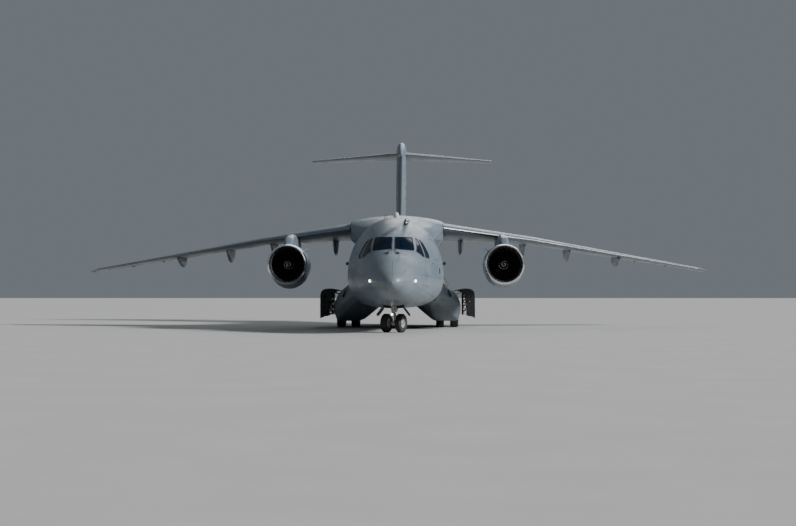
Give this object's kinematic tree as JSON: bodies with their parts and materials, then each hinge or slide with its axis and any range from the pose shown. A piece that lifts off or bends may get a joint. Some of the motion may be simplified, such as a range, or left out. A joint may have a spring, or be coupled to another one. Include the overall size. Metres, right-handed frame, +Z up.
{
  "type": "military transport plane",
  "caption": "High-wing twin-jet military transport aircraft with a T-tail, rear cargo ramp and side sponsons, standing on its landing gear.",
  "frame": {"origin": "on the ground, under the middle of the length and of the span", "axes": "+Z up, the nose points to -Y, +X to the port (left-hand) wing"},
  "size_m": [35.05, 35.2, 11.6],
  "materials": {
    "radome_paint": "satin paint",
    "grey_paint": "satin paint",
    "wing_paint": "satin paint",
    "sponson_paint": "satin paint",
    "gear_door_paint": "satin paint",
    "nacelle_paint": "satin paint with bare metal lips",
    "core_metal": "dark heat-stained metal",
    "fan_metal": "dark metal",
    "cabin_floor": "worn paint",
    "cabin_steel": "dark paint",
    "cabin_trim": "dark moulded plastic",
    "gear_paint": "white gloss paint",
    "strut_chrome": "polished",
    "tyre_rubber": "matt rubber on painted rims",
    "glass": "tinted, clear",
    "seat_fabric": "woven cover"
  },
  "bodies": {
    "airframe": {"radome": "radome_paint", "fuselage_front": "grey_paint", "fuselage_middle": "grey_paint", "fuselage_tail": "grey_paint", "refuelling_probe": "grey_paint", "wing_centre": "wing_paint", "fin": "wing_paint", "tailplane": "wing_paint", "cargo_floor": "cabin_floor", "flight_deck": "cabin_steel", "instrument_panel": "cabin_trim", "nose_gear_leg": "gear_paint", "windscreen_left": "glass", "side_window_front_left": "glass", "side_window_rear_left": "glass", "pilot_seat_left": "seat_fabric", "sponson_left": "sponson_paint", "main_gear_door_left": "gear_door_paint", "nose_gear_door_left": "gear_door_paint", "main_gear_leg_front_left": "gear_paint", "main_gear_leg_rear_left": "gear_paint", "nacelle_left": "nacelle_paint", "pylon_left": "nacelle_paint", "engine_core_left": "core_metal", "wing_left": "wing_paint", "windscreen_right": "glass", "side_window_front_right": "glass", "side_window_rear_right": "glass", "pilot_seat_right": "seat_fabric", "sponson_right": "sponson_paint", "main_gear_door_right": "gear_door_paint", "nose_gear_door_right": "gear_door_paint", "main_gear_leg_front_right": "gear_paint", "main_gear_leg_rear_right": "gear_paint", "nacelle_right": "nacelle_paint", "pylon_right": "nacelle_paint", "engine_core_right": "core_metal", "wing_right": "wing_paint"},
    "crew_door": {"crew_door": "grey_paint"},
    "cargo_ramp": {"cargo_ramp": "grey_paint"},
    "cargo_door": {"cargo_door": "grey_paint"},
    "rudder": {"rudder": "wing_paint"},
    "nose_gear_steering": {"nose_gear_strut": "strut_chrome"},
    "nose_wheels": {"nose_wheels": "tyre_rubber"},
    "main_wheels_front_left": {"main_wheels_front_left": "tyre_rubber"},
    "main_wheels_rear_left": {"main_wheels_rear_left": "tyre_rubber"},
    "fan_left": {"fan_left": "fan_metal"},
    "inboard_flap_left": {"inboard_flap_left": "wing_paint"},
    "outboard_flap_left": {"outboard_flap_left": "wing_paint"},
    "aileron_left": {"aileron_left": "wing_paint"},
    "elevator_left": {"elevator_left": "wing_paint"},
    "main_wheels_front_right": {"main_wheels_front_right": "tyre_rubber"},
    "main_wheels_rear_right": {"main_wheels_rear_right": "tyre_rubber"},
    "fan_right": {"fan_right": "fan_metal"},
    "inboard_flap_right": {"inboard_flap_right": "wing_paint"},
    "outboard_flap_right": {"outboard_flap_right": "wing_paint"},
    "aileron_right": {"aileron_right": "wing_paint"},
    "elevator_right": {"elevator_right": "wing_paint"}
  },
  "joints": [
    {"name": "nose_steering", "type": "hinge", "parent": "airframe", "child": "nose_gear_steering", "pos_m": [0, -13.6, 0.432], "axis": [0, 0, 1], "range_deg": [-39.5, 90.5]},
    {"name": "nose_wheels_spin", "type": "hinge", "parent": "nose_gear_steering", "child": "nose_wheels", "pos_m": [0, -13.6, 0.432], "axis": [0.9026, -0.4305, 0], "continuous": true},
    {"name": "main_wheels_front_left_spin", "type": "hinge", "parent": "airframe", "child": "main_wheels_front_left", "pos_m": [2.66, -1.7, 0.535], "axis": [1, 0, 0], "continuous": true},
    {"name": "main_wheels_rear_left_spin", "type": "hinge", "parent": "airframe", "child": "main_wheels_rear_left", "pos_m": [2.66, -0.3, 0.535], "axis": [1, 0, 0], "continuous": true},
    {"name": "fan_left_spin", "type": "hinge", "parent": "airframe", "child": "fan_left", "pos_m": [5.4, -8.2, 3.25], "axis": [0, 1, 0], "continuous": true},
    {"name": "inboard_flap_left_hinge", "type": "hinge", "parent": "airframe", "child": "inboard_flap_left", "pos_m": [4.89, 0.03313, 3.9109], "axis": [-0.9797, -0.1991, 0.0207], "range_deg": [0, 35]},
    {"name": "outboard_flap_left_hinge", "type": "hinge", "parent": "airframe", "child": "outboard_flap_left", "pos_m": [10.005, 1.27589, 3.51491], "axis": [-0.9596, -0.2671, 0.0891], "range_deg": [0, 35]},
    {"name": "aileron_left_hinge", "type": "hinge", "parent": "airframe", "child": "aileron_left", "pos_m": [14.61, 2.58132, 3.48696], "axis": [-0.9541, -0.263, 0.1432], "range_deg": [-25, 25]},
    {"name": "elevator_left_hinge", "type": "hinge", "parent": "airframe", "child": "elevator_left", "pos_m": [3.045, 16.55696, 10.55267], "axis": [-0.9784, -0.2047, 0.0287], "range_deg": [-25, 15]},
    {"name": "main_wheels_front_right_spin", "type": "hinge", "parent": "airframe", "child": "main_wheels_front_right", "pos_m": [-2.66, -1.7, 0.535], "axis": [1, 0, 0], "continuous": true},
    {"name": "main_wheels_rear_right_spin", "type": "hinge", "parent": "airframe", "child": "main_wheels_rear_right", "pos_m": [-2.66, -0.3, 0.535], "axis": [1, 0, 0], "continuous": true},
    {"name": "fan_right_spin", "type": "hinge", "parent": "airframe", "child": "fan_right", "pos_m": [-5.4, -8.2, 3.25], "axis": [0, 1, 0], "continuous": true},
    {"name": "inboard_flap_right_hinge", "type": "hinge", "parent": "airframe", "child": "inboard_flap_right", "pos_m": [-4.89, 0.03313, 3.9109], "axis": [-0.9797, 0.1991, -0.0207], "range_deg": [0, 35]},
    {"name": "outboard_flap_right_hinge", "type": "hinge", "parent": "airframe", "child": "outboard_flap_right", "pos_m": [-10.005, 1.27589, 3.51491], "axis": [-0.9596, 0.2671, -0.0891], "range_deg": [0, 35]},
    {"name": "aileron_right_hinge", "type": "hinge", "parent": "airframe", "child": "aileron_right", "pos_m": [-14.61, 2.58132, 3.48696], "axis": [-0.9541, 0.263, -0.1432], "range_deg": [-25, 25]},
    {"name": "elevator_right_hinge", "type": "hinge", "parent": "airframe", "child": "elevator_right", "pos_m": [-3.045, 16.55696, 10.55267], "axis": [-0.9784, 0.2047, -0.0287], "range_deg": [-25, 15]},
    {"name": "rudder_hinge", "type": "hinge", "parent": "airframe", "child": "rudder", "pos_m": [0, 14.11034, 7.89], "axis": [0, 0.4352, 0.9003], "range_deg": [-25, 25]},
    {"name": "crew_door_hinge", "type": "hinge", "parent": "airframe", "child": "crew_door", "pos_m": [1.66287, -11.025, 1.44], "axis": [0.1325, 0.9912, 0], "range_deg": [0, 100]},
    {"name": "cargo_ramp_hinge", "type": "hinge", "parent": "airframe", "child": "cargo_ramp", "pos_m": [0, 3.7, 1.085], "axis": [-1, 0, 0], "range_deg": [0, 28]},
    {"name": "cargo_door_hinge", "type": "hinge", "parent": "airframe", "child": "cargo_door", "pos_m": [0, 12.1, 3.81], "axis": [-1, 0, 0], "range_deg": [0, 20]}
  ]
}
